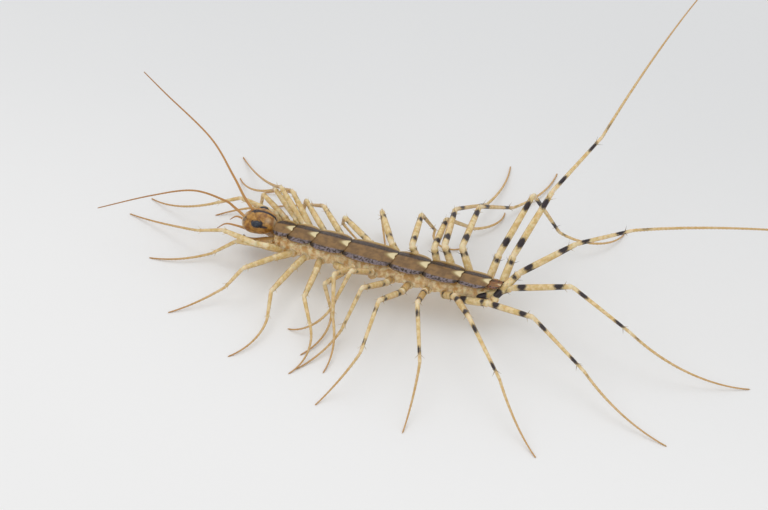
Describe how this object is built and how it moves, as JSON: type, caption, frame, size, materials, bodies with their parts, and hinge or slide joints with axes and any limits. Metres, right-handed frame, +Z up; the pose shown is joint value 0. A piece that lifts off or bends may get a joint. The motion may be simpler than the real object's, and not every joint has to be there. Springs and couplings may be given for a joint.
{
  "type": "house centipede",
  "caption": "House centipede standing on spread banded legs, long feelers forward, arched shell plates down the back, the rearmost pair of legs raised behind.",
  "frame": {"origin": "middle of the underside of the bounding box, on the floor the feet stand on", "axes": "-X towards the head, -Y towards the animal's left side, +Z up from the floor"},
  "size_m": [0.0734, 0.059, 0.0145],
  "materials": {
    "head": "waxy golden brown cuticle",
    "flank": "soft translucent pale straw cuticle",
    "plate": "satin olive-brown shell plate with dark bands",
    "leg": "waxy straw cuticle with dark bands",
    "feeler": "orange-brown ringed cuticle",
    "claw": "hard glossy amber cuticle",
    "eye": "glossy blue-black faceted eye"
  },
  "bodies": {
    "root": {"head": "head", "trunk": "flank", "tergite_1": "plate", "tergite_2": "plate", "tergite_3": "plate", "tergite_4": "plate", "tergite_5": "plate", "tergite_6": "plate", "tergite_7": "plate", "tergite_8": "plate", "eye_left": "eye", "antenna_left": "feeler", "poison_claw_left": "claw", "palp_left": "feeler", "leg_left_1": "leg", "leg_left_2": "leg", "leg_left_3": "leg", "leg_left_4": "leg", "leg_left_5": "leg", "leg_left_6": "leg", "leg_left_7": "leg", "leg_left_8": "leg", "leg_left_9": "leg", "leg_left_10": "leg", "leg_left_11": "leg", "leg_left_12": "leg", "leg_left_13": "leg", "leg_left_14": "leg", "leg_left_15": "leg", "eye_right": "eye", "antenna_right": "feeler", "poison_claw_right": "claw", "palp_right": "feeler", "leg_right_1": "leg", "leg_right_2": "leg", "leg_right_3": "leg", "leg_right_4": "leg", "leg_right_5": "leg", "leg_right_6": "leg", "leg_right_7": "leg", "leg_right_8": "leg", "leg_right_9": "leg", "leg_right_10": "leg", "leg_right_11": "leg", "leg_right_12": "leg", "leg_right_13": "leg", "leg_right_14": "leg", "leg_right_15": "leg"}
  },
  "joints": []
}
